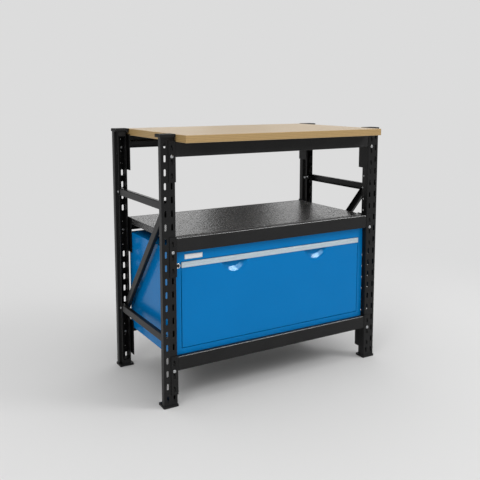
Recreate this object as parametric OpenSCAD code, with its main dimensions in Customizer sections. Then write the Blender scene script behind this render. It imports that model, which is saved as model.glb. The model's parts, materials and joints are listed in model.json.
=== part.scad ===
// Steel-framed workbench: perforated posts, step beams, a wooden top that overhangs the front,
// a steel shelf, and a cabinet with one wide, deep drawer. Units are millimetres.
// X runs across the bench, Y from its front to its back, Z up from the floor.
// The origin lies on the floor, in the middle of the bench's overall plan.

/* [Frame] */
// Width over the outside of the posts
frame_w = 1016; // [916:50:1216]
// Depth over the outside of the posts
frame_d = 498; // [498:50:648]
// Length of each post
post_h = 1000; // [1000:50:1150]
// Width of a post's slotted face
post_w = 55; // [55:1:60]
// Depth of a post from its slotted face to the edge of its rear walls
post_d = 46; // [44:1:48]
// Slot, counted from the floor, that the lower beams are bolted to
lower_slot = 2; // [1:1:3]
// Slot that the shelf beams are bolted to
shelf_slot = 11; // [11:1:13]
// Height of a beam
beam_h = 55; // [50:1:60]

/* [Worktop and shelf] */
// Thickness of the wooden board
board_t = 27; // [18:1:40]
// How far the board stands out in front of the posts
board_overhang = 82; // [10:1:150]
// How far the shelf stands above its beams
shelf_rise = 2; // [0:1:5]

/* [Cabinet and drawer] */
// Height of the cabinet
cabinet_h = 415; // [400:1:415]
// Depth of the cabinet
cabinet_d = 450; // [446:1:455]
// Width of the cabinet's upright front rails
stile_w = 24; // [24:1:30]
// Height of the rail under the drawer
lower_rail_h = 44; // [40:1:60]
// Height of the rail over the drawer
upper_rail_h = 37.5; // [30:0.5:50]
// Height of the drawer's walls
drawer_wall_h = 280; // [150:1:280]
// Radius of the pressed finger cups at the drawer's front face
cup_r = 62; // [50:1:65]
// Distance of each finger cup from the middle of the drawer
cup_x = 195; // [120:1:260]
// Height of the aluminium pull strip
pull_h = 21.5; // [18:0.5:30]

/* [Hidden] */
$fn = 48;
frame_black = [0.13, 0.13, 0.14];
plastic_black = [0.08, 0.08, 0.09];
zinc = [0.75, 0.76, 0.78];
cabinet_blue = [0.07, 0.43, 0.70];
aluminium = [0.80, 0.82, 0.85];
birch = [0.80, 0.70, 0.55];
shelf_grey = [0.38, 0.38, 0.39];
eps = 1;

// Posts: a box behind the slotted face, opening into a narrower throat towards the frame's inside
post_sheet = 2;
post_box_d = 26;
throat_w = 31;
pitch = 50;
slot_w = 8;
slot_l = 25;
slot_u = 13.1;
hook_gap = 0.6;
slot_count = post_h / pitch;
foot_t = 8.5;
cap_t = 12;
cap_over = 3;
plug_l = 20;
plug_gap = 0.5;
post_x = frame_w / 2 - post_w / 2;
post_face_y = frame_d / 2;
bolt_head_h = 5;
bolt_head_r = 6.5;
bolt_l = 16;
bolt_hole_d = 6.6;
shank_r = 3;
nut_t = 5;
nut_d = 11.5;
nut_bore_r = 3.1;
plate_t = 3;
frame_y = (board_overhang - plate_t - bolt_head_h) / 2;

// Beams and their end connectors
beam_sheet = 2;
beam_d = 40;
step_d = 20;
step_h = 24;
beam_lip = 14;
plate_drop = 90;
plate_h = 150;
plate_d = 56;
flange_w = 30;
beam_l = frame_w - 2 * post_w - 2 * plate_t;
beam_over_slot = 3.5;
bolt_rise = 3;
window_drop = 15.5;
window_w = 9;
window_h = 14;
top_slot = slot_count - 2;
levels = [lower_slot, shelf_slot, top_slot];

// Side braces
brace_h = 30;
brace_w = 14.8;
brace_sheet = 1.5;
brace_hole_d = 7;
brace_y = post_face_y - 36;
brace_upper_z = foot_t + 15 * pitch;
brace_lower_z = foot_t + 5 * pitch;
brace_end = 12;
level_gap = 0.5;
diagonal_gap = 0.3;

// Worktop and shelf
board_x = beam_l / 2 - 1;
board_z = beam_z(top_slot) + beam_h;
screw_xs = [for (i = [-1.5 : 1 : 1.5]) i * (beam_l - 200) / 3];
screw_y = post_face_y - step_d / 2;
screw_l = 17;
screw_r = 2.4;
screw_hole_r = 2.7;
beam_hole_d = 5.5;
shelf_sheet = 1.2;
shelf_y = post_face_y - step_d - 1;
shelf_z0 = beam_z(shelf_slot) + beam_h - step_h;
shelf_z1 = beam_z(shelf_slot) + beam_h + shelf_rise;

// Cabinet
sheet = 1.2;
seam = 0.2;
cab_x = beam_l / 2 - 1;
cab_in_x = cab_x - sheet - seam;
cab_front = -(post_face_y - step_d - 1);
cab_rear = cab_front + cabinet_d;
cab_z0 = beam_z(lower_slot) + beam_h - step_h;
cab_z1 = cab_z0 + cabinet_h;
rail_d = 20;
mouth_x = cab_x - stile_w;
mouth_z0 = cab_z0 + lower_rail_h;
mouth_z1 = cab_z1 - upper_rail_h;

// Drawer, with its slides between it and the cabinet's sides
front_gap = 1.5;
front_x = mouth_x - front_gap;
front_z0 = mouth_z0 + front_gap;
front_z1 = mouth_z1 - 2 * front_gap;
front_back_y = cab_front + rail_d;
cup_floor_r = 40;
cup_depth = 15;
cup_z = front_z1 - 2.5;
top_rail_t = 1.5;
pull_t = 3;
pull_cap_w = 12.5;
slide_t = 12.7;
slide_h = 45.5;
slide_l = 400;
slide_y0 = cab_front + 28;
slide_sheet = 1.2;
outer_x1 = 12;
middle_x0 = 3;
middle_x1 = 11.2;
inner_x0 = 6.5;
middle_half_h = 18;
inner_half_h = 13;
outer_cage_x = 7.2;
outer_ball_r = 1.5;
inner_cage_x = 9;
inner_ball_r = 1.6;
slide_clearance = 0.3;
drawer_x = mouth_x - slide_t - slide_clearance;
drawer_z0 = mouth_z0 + 13;
drawer_z1 = drawer_z0 + drawer_wall_h;
drawer_y0 = front_back_y + sheet;
drawer_y1 = slide_y0 + slide_l - 10;
slide_z = drawer_z0 + 75;

// Lock in the left upright rail
lock_x = -(cab_x - stile_w / 2);
lock_z = mouth_z1 - 13.5;
lock_r = 9;
plug_r = 6;
plug_clearance = 0.05;
plug_out = 1.5;
lock_hole_gap = 0.3;
bezel_t = 2;
bezel_front_r = lock_r + 0.5;
bezel_back_r = lock_r + 1.5;
cam_y = front_back_y + 3.5;
cam_t = 2.5;
cam_l = 38;
cam_w = 14;

// Height of the middle of a post's slot, counted from 0 at the foot
function slot_z(k) = foot_t + pitch / 2 + k * pitch;

// Height of the underside of the beam that is bolted to slot k
function beam_z(k) = slot_z(k) + beam_over_slot;

// Children are drawn round the middle of the posts' plan
module in_frame() {
    translate([0, frame_y, 0]) children();
}

// Children are drawn for a right rear post: x = 0 at its middle, y = 0 at its slotted face
module at_post(side, end) {
    in_frame()
        translate([side * post_x, end * post_face_y, 0])
            mirror([side < 0 ? 1 : 0, 0, 0])
                mirror([0, end < 0 ? 1 : 0, 0])
                    children();
}

// Children are drawn for a rear beam: y = 0 at its outer face
module at_beam(end) {
    in_frame()
        translate([0, end * post_face_y, 0])
            mirror([0, end < 0 ? 1 : 0, 0])
                children();
}

// Children are drawn on the right and mirrored to the left
module both_sides() {
    children();
    mirror([1, 0, 0]) children();
}

// A box from its low corner to its high corner
module block(low, high) {
    translate(low) cube(high - low);
}

// ---- Posts, feet and caps ----

module post_section() {
    difference() {
        union() {
            translate([-post_w / 2, -post_box_d]) square([post_w, post_box_d]);
            translate([-throat_w / 2 - post_sheet, -post_d])
                square([throat_w + 2 * post_sheet, post_d]);
        }
        translate([-post_w / 2 + post_sheet, -post_box_d + post_sheet])
            square([post_w - 2 * post_sheet, post_box_d - 2 * post_sheet]);
        translate([-throat_w / 2, -post_d - eps])
            square([throat_w, post_d - post_sheet + eps]);
    }
}

// A round-ended slot that runs along Z and is cut along Y
module slot_cutter(length, width, depth) {
    rotate([90, 0, 0])
        linear_extrude(depth, center = true) {
            square([width, length - width], center = true);
            for (s = [-1, 1])
                translate([0, s * (length - width) / 2]) circle(d = width);
        }
}

module post(side, end) {
    color(frame_black)
        at_post(side, end)
            difference() {
                translate([0, 0, foot_t]) linear_extrude(post_h) post_section();
                for (k = [0 : slot_count - 1], u = [-slot_u, slot_u])
                    translate([u, -post_sheet / 2, slot_z(k)])
                        slot_cutter(slot_l, slot_w, post_sheet + 2 * eps);
                for (k = [1 : slot_count - 1])
                    translate([0, -post_face_y + brace_y, foot_t + k * pitch])
                        rotate([0, 90, 0])
                            cylinder(h = throat_w + 4 * post_sheet, d = brace_hole_d, center = true);
            }
}

// The part of a foot or cap that fills the post's hollow
module post_plug() {
    box_x = post_w / 2 - post_sheet - plug_gap;
    throat_x = throat_w / 2 - plug_gap;
    linear_extrude(plug_l) {
        translate([-box_x, -post_box_d + post_sheet + plug_gap])
            square([2 * box_x, post_box_d - 2 * post_sheet - 2 * plug_gap]);
        translate([-throat_x, -post_d + plug_gap])
            square([2 * throat_x, post_d - post_sheet - 2 * plug_gap]);
    }
}

// A plate with round corners that stands out all round the post
module post_plate(height) {
    corner = 3;
    half_x = post_w / 2 + cap_over - corner;
    low_y = -post_d - cap_over + corner;
    high_y = cap_over - corner;
    linear_extrude(height) {
        translate([-half_x, low_y - corner]) square([2 * half_x, high_y - low_y + 2 * corner]);
        translate([-half_x - corner, low_y]) square([2 * half_x + 2 * corner, high_y - low_y]);
        for (x = [-half_x, half_x], y = [low_y, high_y])
            translate([x, y]) circle(r = corner);
    }
}

module foot(side, end) {
    color(plastic_black)
        at_post(side, end) {
            post_plate(foot_t);
            translate([0, 0, foot_t]) post_plug();
        }
}

module cap(side, end) {
    color(plastic_black)
        at_post(side, end) {
            translate([0, 0, foot_t + post_h]) post_plate(cap_t);
            translate([0, 0, foot_t + post_h - plug_l]) post_plug();
        }
}

module post_front_left() post(-1, -1);
module post_front_right() post(1, -1);
module post_rear_left() post(-1, 1);
module post_rear_right() post(1, 1);
module foot_front_left() foot(-1, -1);
module foot_front_right() foot(1, -1);
module foot_rear_left() foot(-1, 1);
module foot_rear_right() foot(1, 1);
module cap_front_left() cap(-1, -1);
module cap_front_right() cap(1, -1);
module cap_rear_left() cap(-1, 1);
module cap_rear_right() cap(1, 1);

// ---- Beams and connectors ----

// A step beam's bent sheet: x is inwards when negative, y is up from the underside
module beam_section() {
    t = beam_sheet;
    translate([-t, 0]) square([t, beam_h]);
    translate([-beam_lip, 0]) square([beam_lip, t]);
    translate([-step_d, beam_h - t]) square([step_d, t]);
    translate([-step_d, beam_h - step_h - t]) square([t, step_h + t]);
    translate([-beam_d, beam_h - step_h - t]) square([beam_d - step_d + t, t]);
    translate([-beam_d, beam_h - step_h - beam_lip]) square([t, beam_lip]);
}

module beam(end, k) {
    color(frame_black)
        at_beam(end)
            translate([0, 0, beam_z(k)])
                rotate([90, 0, 90])
                    linear_extrude(beam_l, center = true) beam_section();
}

// A top beam has holes for the screws that hold the board
module top_beam(end) {
    color(frame_black)
        difference() {
            beam(end, top_slot);
            at_beam(end)
                for (x = screw_xs)
                    translate([x, screw_y - post_face_y, board_z - beam_sheet - eps])
                        cylinder(h = beam_sheet + 2 * eps, d = beam_hole_d);
        }
}

module beam_lower_front() beam(-1, lower_slot);
module beam_lower_rear() beam(1, lower_slot);
module beam_shelf_front() beam(-1, shelf_slot);
module beam_shelf_rear() beam(1, shelf_slot);
module beam_top_front() top_beam(-1);
module beam_top_rear() top_beam(1);

// The hook that drops behind the post's face through one slot
module connector_hook() {
    reach = post_sheet + hook_gap;
    tooth_t = 3;
    half_w = 3.5;
    top_z = -3.5;
    neck_z = -9;
    tip_z = -21;
    block([-half_w, -reach - tooth_t, neck_z], [half_w, plate_t, top_z]);
    block([-half_w, -reach - tooth_t, tip_z], [half_w, -reach, top_z]);
}

// An angle plate welded to the end of a beam and hooked into the post's inner slots
module connector(k) {
    inner = -post_w / 2;
    z0 = beam_z(k) - plate_drop;
    difference() {
        union() {
            block([inner - plate_t, -plate_d, z0], [inner, plate_t, z0 + plate_h]);
            block([inner - plate_t, 0, z0], [inner - plate_t + flange_w, plate_t, z0 + plate_h]);
        }
        for (j = [-1 : 1])
            translate([-slot_u, plate_t / 2, slot_z(k + j) - window_drop])
                cube([window_w, plate_t + 2 * eps, window_h], center = true);
        translate([-slot_u, plate_t / 2, beam_z(k) + bolt_rise])
            rotate([90, 0, 0])
                cylinder(h = plate_t + 2 * eps, d = bolt_hole_d, center = true);
    }
    for (j = [-1 : 1])
        translate([-slot_u, 0, slot_z(k + j)]) connector_hook();
}

module connector_set(k) {
    color(frame_black)
        for (side = [-1, 1], end = [-1, 1])
            at_post(side, end) connector(k);
}

module connectors_lower() connector_set(lower_slot);
module connectors_shelf() connector_set(shelf_slot);
module connectors_top() connector_set(top_slot);

// A round-headed bolt: its head sits above z = 0 and its shank runs down
module bolt(head_r, head_h, shank_l) {
    rim_h = head_h * 0.4;
    top_r = head_r * 0.55;
    cylinder(h = rim_h, r = head_r);
    translate([0, 0, rim_h]) cylinder(h = head_h - rim_h, r1 = head_r, r2 = top_r);
    translate([0, 0, -shank_l]) cylinder(h = shank_l + rim_h / 2, r = shank_r);
}

// A hexagon nut that sits above z = 0
module nut() {
    difference() {
        cylinder(h = nut_t, d = nut_d, $fn = 6);
        translate([0, 0, -eps]) cylinder(h = nut_t + 2 * eps, r = nut_bore_r);
    }
}

module connector_bolts() {
    color(zinc)
        for (side = [-1, 1], end = [-1, 1], k = levels)
            at_post(side, end)
                translate([-slot_u, 0, beam_z(k) + bolt_rise]) {
                    translate([0, plate_t, 0]) rotate([-90, 0, 0]) bolt(bolt_head_r, bolt_head_h, bolt_l);
                    translate([0, -post_sheet, 0]) rotate([90, 0, 0]) nut();
                }
}

// ---- Side braces ----

// A channel with its web towards the outside and its length along Y
module brace_channel(length) {
    t = brace_sheet;
    half_l = length / 2;
    block([brace_w - t, -half_l, -brace_h / 2], [brace_w, half_l, brace_h / 2]);
    for (z = [-brace_h / 2, brace_h / 2 - t])
        block([0, -half_l, z], [brace_w, half_l, z + t]);
}

module brace_hole(y, z) {
    translate([-eps, y, z])
        rotate([0, 90, 0])
            cylinder(h = throat_w, d = brace_hole_d);
}

module level_brace(side, z) {
    color(frame_black)
        in_frame()
            mirror([side < 0 ? 1 : 0, 0, 0])
                translate([post_x + level_gap, 0, 0])
                    difference() {
                        translate([0, 0, z]) brace_channel(2 * (brace_y + brace_end));
                        brace_hole(-brace_y, z);
                        brace_hole(brace_y, z);
                    }
}

// Runs from the front post's upper bolt down to the rear post's lower bolt
module diagonal_brace(side) {
    rise = brace_upper_z - brace_lower_z;
    run = 2 * brace_y;
    mid_z = (brace_upper_z + brace_lower_z) / 2;
    color(frame_black)
        in_frame()
            mirror([side < 0 ? 1 : 0, 0, 0])
                translate([post_x - diagonal_gap - brace_w, 0, 0])
                    difference() {
                        translate([0, 0, mid_z])
                            rotate([-atan2(rise, run), 0, 0])
                                brace_channel(sqrt(rise * rise + run * run) + 2 * brace_end);
                        brace_hole(-brace_y, brace_upper_z);
                        brace_hole(brace_y, brace_lower_z);
                    }
}

module brace_upper_left() level_brace(-1, brace_upper_z);
module brace_lower_left() level_brace(-1, brace_lower_z);
module brace_diagonal_left() diagonal_brace(-1);
module brace_upper_right() level_brace(1, brace_upper_z);
module brace_lower_right() level_brace(1, brace_lower_z);
module brace_diagonal_right() diagonal_brace(1);

module brace_bolts() {
    wall = throat_w / 2 + post_sheet;
    head_r = 5;
    head_h = 4;
    shank_l = wall + 26;
    color(zinc)
        for (side = [-1, 1], end = [-1, 1], z = [brace_lower_z, brace_upper_z])
            at_post(side, end)
                translate([0, brace_y - post_face_y, z]) {
                    translate([wall, 0, 0]) rotate([0, 90, 0]) bolt(head_r, head_h, shank_l);
                    translate([-wall, 0, 0]) rotate([0, -90, 0]) nut();
                }
}

// Sleeves that fill the diagonal's place on the bolts that it doesn't reach
module brace_spacers() {
    length = throat_w / 2 - diagonal_gap;
    outer_r = 5.5;
    bore_r = 3.2;
    color(zinc)
        for (side = [-1, 1], end = [-1, 1])
            at_post(side, end)
                translate([-throat_w / 2, brace_y - post_face_y, end < 0 ? brace_lower_z : brace_upper_z])
                    rotate([0, 90, 0])
                        difference() {
                            cylinder(h = length, r = outer_r);
                            translate([0, 0, -eps]) cylinder(h = length + 2 * eps, r = bore_r);
                        }
}

// ---- Worktop and shelf ----

module worktop() {
    color(birch)
        in_frame()
            difference() {
                block(
                    [-board_x, -post_face_y - board_overhang, board_z],
                    [board_x, post_face_y, board_z + board_t]
                );
                for (x = screw_xs, s = [-1, 1])
                    translate([x, s * screw_y, board_z - eps])
                        cylinder(h = screw_l + eps, r = screw_hole_r);
            }
}

module worktop_screws() {
    head_h = 2.5;
    head_r = 5;
    neck_r = 3.2;
    color(zinc)
        in_frame()
            for (x = screw_xs, s = [-1, 1])
                translate([x, s * screw_y, board_z - beam_sheet]) {
                    cylinder(h = screw_l, r = screw_r);
                    translate([0, 0, -head_h]) cylinder(h = head_h, r1 = neck_r, r2 = head_r);
                }
}

// A tray of folded sheet, open underneath
module shelf_panel() {
    t = shelf_sheet;
    fold = 14;
    color(shelf_grey)
        in_frame() {
            difference() {
                block([-board_x, -shelf_y, shelf_z0], [board_x, shelf_y, shelf_z1]);
                block(
                    [-board_x + t, -shelf_y + t, shelf_z0 - eps],
                    [board_x - t, shelf_y - t, shelf_z1 - t]
                );
            }
            for (s = [-1, 1])
                translate([0, s * (shelf_y - fold / 2), shelf_z0 + t / 2])
                    cube([2 * board_x, fold, t], center = true);
        }
}

// Channels spot-welded under the shelf
module shelf_ribs() {
    t = shelf_sheet;
    rib_w = 50;
    rib_h = 18;
    rib_x = board_x * 0.6;
    length_y = shelf_y - 2 * t;
    z1 = shelf_z1 - t;
    color(shelf_grey)
        in_frame()
            for (x = [-rib_x, 0, rib_x])
                translate([x, 0, 0])
                    difference() {
                        block([-rib_w / 2, -length_y, z1 - rib_h], [rib_w / 2, length_y, z1]);
                        block(
                            [-rib_w / 2 + t, -length_y - eps, z1 - rib_h + t],
                            [rib_w / 2 - t, length_y + eps, z1 + eps]
                        );
                    }
}

// ---- Cabinet ----

// The right side panel, with a flange folded in at the back
module cabinet_side() {
    flange = 16;
    in_frame() {
        block([cab_x - sheet, cab_front + sheet, cab_z0], [cab_x, cab_rear, cab_z1]);
        block(
            [cab_x - flange, cab_rear - sheet, cab_z0 + sheet + seam],
            [cab_x, cab_rear, cab_z1 - sheet - seam]
        );
    }
}

module cabinet_right_side() {
    color(cabinet_blue) cabinet_side();
}

module cabinet_left_side() {
    color(cabinet_blue) mirror([1, 0, 0]) cabinet_side();
}

module cabinet_back() {
    y1 = cab_rear - sheet - seam;
    color(cabinet_blue)
        in_frame()
            block(
                [-cab_in_x, y1 - sheet, cab_z0 + sheet + seam],
                [cab_in_x, y1, cab_z1 - sheet - seam]
            );
}

// A flat panel between the sides, from its underside z0
module cabinet_deck(z0) {
    color(cabinet_blue)
        in_frame()
            block([-cab_in_x, cab_front + sheet + seam, z0], [cab_in_x, cab_rear, z0 + sheet]);
}

module cabinet_top() cabinet_deck(cab_z1 - sheet);
module cabinet_bottom() cabinet_deck(cab_z0);

// The front of the cabinet: a face with folded edges round its outside and round the drawer's mouth
module cabinet_front_frame() {
    inset = sheet + seam;
    y0 = cab_front;
    y1 = front_back_y;
    color(cabinet_blue)
        in_frame()
            difference() {
                union() {
                    block([-cab_x, y0, cab_z0], [cab_x, y0 + sheet, cab_z1]);
                    difference() {
                        block(
                            [-cab_x + inset, y0, cab_z0 + inset],
                            [cab_x - inset, y1, cab_z1 - inset]
                        );
                        block(
                            [-cab_in_x + sheet, y0 + sheet, cab_z0 + inset + sheet],
                            [cab_in_x - sheet, y1 + eps, cab_z1 - inset - sheet]
                        );
                    }
                    block(
                        [-mouth_x - sheet, y0, mouth_z0 - sheet],
                        [mouth_x + sheet, y1, mouth_z1 + sheet]
                    );
                }
                block([-mouth_x, y0 - eps, mouth_z0], [mouth_x, y1 + eps, mouth_z1]);
                translate([lock_x, y0 - eps, lock_z])
                    rotate([-90, 0, 0])
                        cylinder(h = sheet + 2 * eps, r = lock_r + lock_hole_gap);
            }
}

// A plain holder for a label, on the upper rail
module name_plate() {
    half_w = 37.5;
    half_h = 9.5;
    rim = 2;
    t = 1.5;
    pocket = 0.7;
    left_margin = 15;
    drop = 1.5;
    mid_x = -mouth_x + left_margin + half_w;
    mid_z = (mouth_z1 + cab_z1) / 2 - drop;
    color(aluminium)
        in_frame()
            difference() {
                block(
                    [mid_x - half_w, cab_front - t, mid_z - half_h],
                    [mid_x + half_w, cab_front, mid_z + half_h]
                );
                block(
                    [mid_x - half_w + rim, cab_front - t - eps, mid_z - half_h + rim],
                    [mid_x + half_w - rim, cab_front - t + pocket, mid_z + half_h - rim]
                );
            }
}

// ---- Slides ----

// A channel whose web lies towards the cabinet's side: x0 and x1 are measured from the slide's outer face
module slide_channel(x0, x1, half_h, web_inside) {
    t = slide_sheet;
    a = mouth_x - x1;
    b = mouth_x - x0;
    web = web_inside ? a : b - t;
    y1 = slide_y0 + slide_l;
    color(zinc)
        in_frame()
            both_sides()
                translate([0, 0, slide_z]) {
                    block([web, slide_y0, -half_h], [web + t, y1, half_h]);
                    block([a, slide_y0, half_h - t], [b, y1, half_h]);
                    block([a, slide_y0, -half_h], [b, y1, -half_h + t]);
                }
}

module slide_outer_members() slide_channel(0, outer_x1, slide_h / 2, false);
module slide_middle_members() slide_channel(middle_x0, middle_x1, middle_half_h, false);
module slide_inner_members() slide_channel(inner_x0, slide_t, inner_half_h, true);

// Ball rows in a strip, above and below a member
module slide_cages(mid_x, mid_z, ball_r) {
    strip_l = 180;
    strip_w = 5;
    strip_t = 0.8;
    balls = 7;
    step = strip_l / balls;
    mid_y = slide_y0 + slide_l / 2;
    color(zinc)
        in_frame()
            both_sides()
                for (s = [-1, 1])
                    translate([mouth_x - mid_x, mid_y, slide_z + s * mid_z]) {
                        cube([strip_w, strip_l, strip_t], center = true);
                        for (i = [0 : balls - 1])
                            translate([0, (i + 0.5) * step - strip_l / 2, 0])
                                sphere(r = ball_r, $fn = 24);
                    }
}

module slide_outer_cages() {
    slide_cages(outer_cage_x, (slide_h / 2 - slide_sheet + middle_half_h) / 2, outer_ball_r);
}

module slide_inner_cages() {
    slide_cages(inner_cage_x, (middle_half_h - slide_sheet + inner_half_h) / 2, inner_ball_r);
}

// Channels that carry the slides clear of the cabinet's front frame
module slide_brackets() {
    half_h = 25;
    color(cabinet_blue)
        in_frame()
            both_sides()
                translate([0, 0, slide_z]) {
                    block([mouth_x, slide_y0, -half_h], [mouth_x + sheet, slide_y0 + slide_l, half_h]);
                    for (z = [-half_h, half_h - sheet])
                        block([mouth_x, slide_y0, z], [cab_in_x, slide_y0 + slide_l, z + sheet]);
                }
}

// ---- Drawer ----

// Solid of one finger cup behind the drawer's face, grown by the sheet's thickness for its outside
module cup(grow) {
    translate([0, cab_front + sheet, cup_z])
        rotate([-90, 0, 0])
            cylinder(h = cup_depth - sheet + grow, r1 = cup_r + grow, r2 = cup_floor_r + grow, $fn = 96);
}

// A pan of folded sheet, open at its back and top, with a half-round cut-out for each finger cup
module drawer_front() {
    color(cabinet_blue)
        in_frame()
            difference() {
                block([-front_x, cab_front, front_z0], [front_x, front_back_y, front_z1]);
                block(
                    [-front_x + sheet, cab_front + sheet, front_z0 + sheet],
                    [front_x - sheet, front_back_y + eps, front_z1 + eps]
                );
                for (s = [-1, 1])
                    translate([s * cup_x, cab_front, cup_z])
                        rotate([90, 0, 0])
                            cylinder(h = 3 * sheet, r = cup_r, center = true, $fn = 96);
            }
}

// Pressed cups behind the cut-outs, each with a flat rim against the back of the face
module finger_cups() {
    rim = 6;
    color(cabinet_blue)
        in_frame()
            both_sides()
                translate([cup_x, 0, 0])
                    difference() {
                        union() {
                            cup(sheet);
                            translate([0, cab_front + sheet, cup_z])
                                rotate([-90, 0, 0])
                                    cylinder(h = sheet, r = cup_r + rim, $fn = 96);
                        }
                        cup(0);
                        block(
                            [-2 * cup_r, cab_front, front_z1],
                            [2 * cup_r, front_back_y, front_z1 + 2 * cup_r]
                        );
                    }
}

// Closes the top of the drawer's front
module drawer_top_rail() {
    color(cabinet_blue)
        in_frame()
            block([-front_x, cab_front, front_z1], [front_x, front_back_y, front_z1 + top_rail_t]);
}

// Closes the back of the drawer's front
module drawer_inner_panel() {
    margin = 2.5;
    color(cabinet_blue)
        in_frame()
            block(
                [-front_x + margin, front_back_y, front_z0 + margin],
                [front_x - margin, drawer_y0, front_z1 - margin / 2]
            );
}

// The right wall, with its top edge folded inwards
module drawer_side() {
    fold = 8;
    in_frame() {
        block([drawer_x - sheet, drawer_y0, drawer_z0], [drawer_x, drawer_y1, drawer_z1]);
        block([drawer_x - fold, drawer_y0, drawer_z1 - sheet], [drawer_x, drawer_y1, drawer_z1]);
    }
}

module drawer_right_side() {
    color(cabinet_blue) drawer_side();
}

module drawer_left_side() {
    color(cabinet_blue) mirror([1, 0, 0]) drawer_side();
}

module drawer_back() {
    half_x = drawer_x - sheet - seam;
    color(cabinet_blue)
        in_frame()
            block(
                [-half_x, drawer_y1 - sheet, drawer_z0 + sheet + seam],
                [half_x, drawer_y1, drawer_z1 - sheet - seam]
            );
}

module drawer_bottom() {
    half_x = drawer_x - sheet - seam;
    color(cabinet_blue)
        in_frame()
            block([-half_x, drawer_y0, drawer_z0], [half_x, drawer_y1, drawer_z0 + sheet]);
}

// A length of the flat pull along the drawer's top edge, in front of the finger cups
module pull_length(x0, x1) {
    block(
        [x0, cab_front - pull_t, front_z1 + top_rail_t - pull_h],
        [x1, cab_front, front_z1 + top_rail_t]
    );
}

module pull_strip() {
    color(aluminium)
        in_frame()
            pull_length(-front_x + pull_cap_w, front_x - pull_cap_w);
}

module pull_end_caps() {
    color(aluminium)
        in_frame()
            both_sides()
                pull_length(front_x - pull_cap_w, front_x);
}

// ---- Lock ----

// Children are drawn with z along the lock's axis, from the cabinet's face towards the back
module at_lock() {
    in_frame()
        translate([lock_x, cab_front, lock_z])
            rotate([-90, 0, 0])
                children();
}

module lock_housing() {
    length = rail_d + bezel_t;
    color(zinc)
        at_lock()
            difference() {
                union() {
                    translate([0, 0, -bezel_t]) cylinder(h = bezel_t, r1 = bezel_front_r, r2 = bezel_back_r);
                    cylinder(h = length, r = lock_r);
                }
                translate([0, 0, -bezel_t - eps])
                    cylinder(h = length + bezel_t + 2 * eps, r = plug_r + plug_clearance);
            }
}

module lock_plug() {
    key_w = 1.8;
    key_h = 8;
    key_depth = 3;
    color(zinc)
        at_lock()
            difference() {
                translate([0, 0, -plug_out]) cylinder(h = plug_out + cam_y - cab_front, r = plug_r);
                translate([0, 0, -plug_out]) cube([key_w, key_h, 2 * key_depth], center = true);
            }
}

// Hangs down when the drawer is free, and turns behind the drawer's front to lock it
module lock_cam() {
    color(zinc)
        at_lock()
            translate([0, 0, cam_y - cab_front])
                linear_extrude(cam_t) {
                    circle(d = cam_w);
                    translate([-cam_w / 2, 0]) square([cam_w, cam_l - cam_w]);
                    translate([0, cam_l - cam_w]) circle(d = cam_w);
                }
}

post_front_left();
post_front_right();
post_rear_left();
post_rear_right();
foot_front_left();
foot_front_right();
foot_rear_left();
foot_rear_right();
cap_front_left();
cap_front_right();
cap_rear_left();
cap_rear_right();
beam_lower_front();
beam_lower_rear();
beam_shelf_front();
beam_shelf_rear();
beam_top_front();
beam_top_rear();
connectors_lower();
connectors_shelf();
connectors_top();
connector_bolts();
brace_upper_left();
brace_lower_left();
brace_diagonal_left();
brace_upper_right();
brace_lower_right();
brace_diagonal_right();
brace_bolts();
brace_spacers();
worktop();
worktop_screws();
shelf_panel();
shelf_ribs();
cabinet_left_side();
cabinet_right_side();
cabinet_back();
cabinet_top();
cabinet_bottom();
cabinet_front_frame();
name_plate();
slide_brackets();
slide_outer_members();
slide_middle_members();
slide_inner_members();
slide_outer_cages();
slide_inner_cages();
drawer_front();
finger_cups();
drawer_top_rail();
drawer_inner_panel();
drawer_left_side();
drawer_right_side();
drawer_back();
drawer_bottom();
pull_strip();
pull_end_caps();
lock_housing();
lock_plug();
lock_cam();
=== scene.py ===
"""Looks of the steel workbench: folded and pressed sheet metal, a layered board, painted finishes.

Lengths are in metres. Places come from the CAD nodes' boxes, and the sizes below are the sheets',
bends' and holes' own. Most pieces are folded sheets: a line in a plane is rounded at its corners,
given a thickness and run along a third direction.
"""

import json
import math

import bmesh
import bpy
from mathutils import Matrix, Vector

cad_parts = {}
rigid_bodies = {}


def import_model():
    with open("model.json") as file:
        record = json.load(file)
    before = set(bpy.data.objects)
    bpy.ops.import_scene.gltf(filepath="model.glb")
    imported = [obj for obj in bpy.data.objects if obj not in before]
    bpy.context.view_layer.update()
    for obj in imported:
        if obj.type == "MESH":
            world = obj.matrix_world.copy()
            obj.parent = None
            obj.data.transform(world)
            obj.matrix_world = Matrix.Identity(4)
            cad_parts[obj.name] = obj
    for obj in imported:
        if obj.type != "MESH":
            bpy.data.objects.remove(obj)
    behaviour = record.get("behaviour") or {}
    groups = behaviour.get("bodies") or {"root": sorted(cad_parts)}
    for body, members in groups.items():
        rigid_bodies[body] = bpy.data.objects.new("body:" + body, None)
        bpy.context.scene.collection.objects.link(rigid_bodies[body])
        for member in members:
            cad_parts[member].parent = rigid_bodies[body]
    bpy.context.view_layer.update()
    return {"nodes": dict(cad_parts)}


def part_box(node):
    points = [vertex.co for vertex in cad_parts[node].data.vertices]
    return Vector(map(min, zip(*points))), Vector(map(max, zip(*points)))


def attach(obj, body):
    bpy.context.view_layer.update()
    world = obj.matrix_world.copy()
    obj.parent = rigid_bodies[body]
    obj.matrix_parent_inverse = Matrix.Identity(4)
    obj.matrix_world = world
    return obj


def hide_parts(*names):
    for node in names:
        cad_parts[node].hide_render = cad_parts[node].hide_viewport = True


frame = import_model()

SIDES = {"left": -1, "right": 1}
ENDS = {"front": -1, "rear": 1}

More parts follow.
